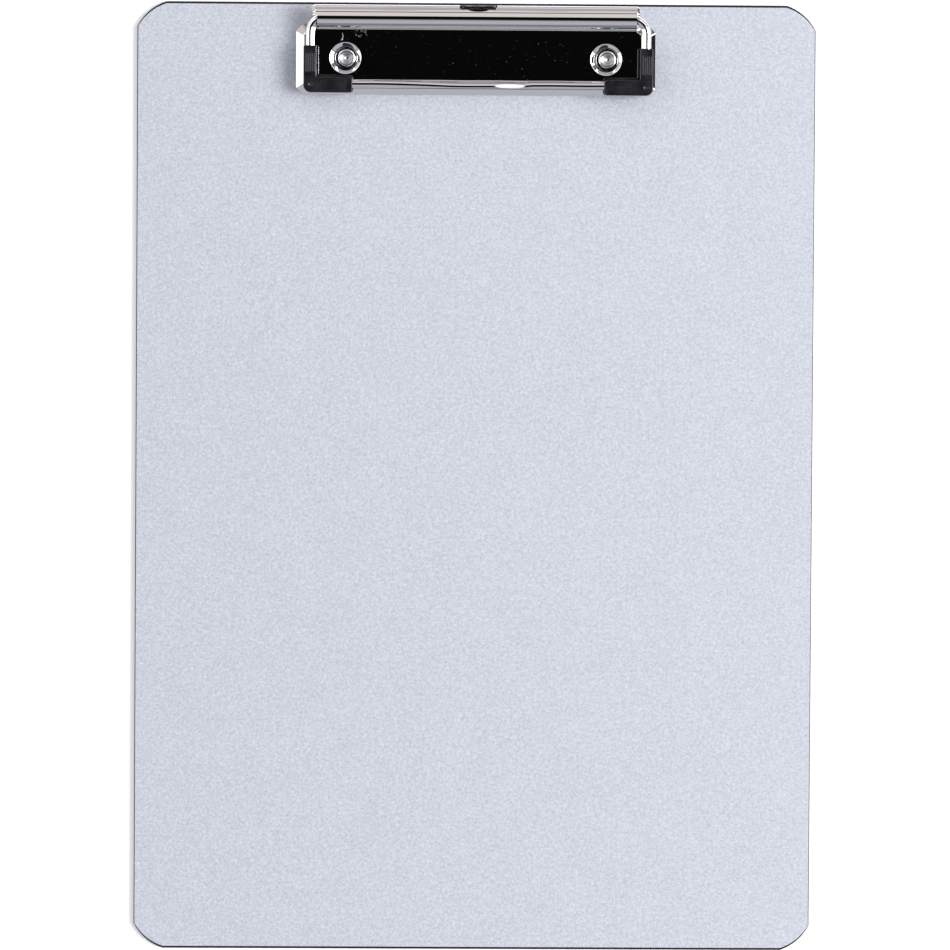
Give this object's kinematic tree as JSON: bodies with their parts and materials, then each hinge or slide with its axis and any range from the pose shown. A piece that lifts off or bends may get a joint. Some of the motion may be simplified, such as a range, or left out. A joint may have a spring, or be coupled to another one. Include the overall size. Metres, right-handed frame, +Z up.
{
  "type": "clipboard",
  "caption": "Flat metal writing board with a low spring-closed wire clip at one short edge; pressing the lever's thumb flange lifts the jaw so that sheets slide under it.",
  "frame": {"origin": "centre of the board's back face, which is the middle of the bottom of the bounding box", "axes": "+X to the right of a reader, +Y along the board towards the clip, +Z up out of the writing face"},
  "size_m": [0.2286, 0.3194, 0.0114],
  "materials": {
    "anodised_aluminium": "matt, finely grained, clear anodised",
    "bright_plating": "mirror bright plating",
    "lever_plating": "mirror bright plating",
    "plated_wire": "bright plated round wire",
    "spring_steel": "drawn spring wire",
    "grip_plastic": "black, satin, ribbed",
    "rivet_steel": "bright rolled head"
  },
  "bodies": {
    "board_and_base": {"board": "anodised_aluminium", "base_plate": "bright_plating", "left_rivet": "rivet_steel", "right_rivet": "rivet_steel", "torsion_spring": "spring_steel"},
    "jaw": {"lever": "lever_plating", "jaw_wire": "plated_wire", "left_corner_grip": "grip_plastic", "right_corner_grip": "grip_plastic"}
  },
  "joints": [
    {"name": "jaw_opening", "type": "hinge", "parent": "board_and_base", "child": "jaw", "pos_m": [0, 0.1543, 0.0078], "axis": [-1, 0, 0], "range_deg": [0, 35], "stiffness_Nm_per_rad": 0.04, "springref_deg": -148.97, "deforming": ["torsion_spring"]}
  ]
}
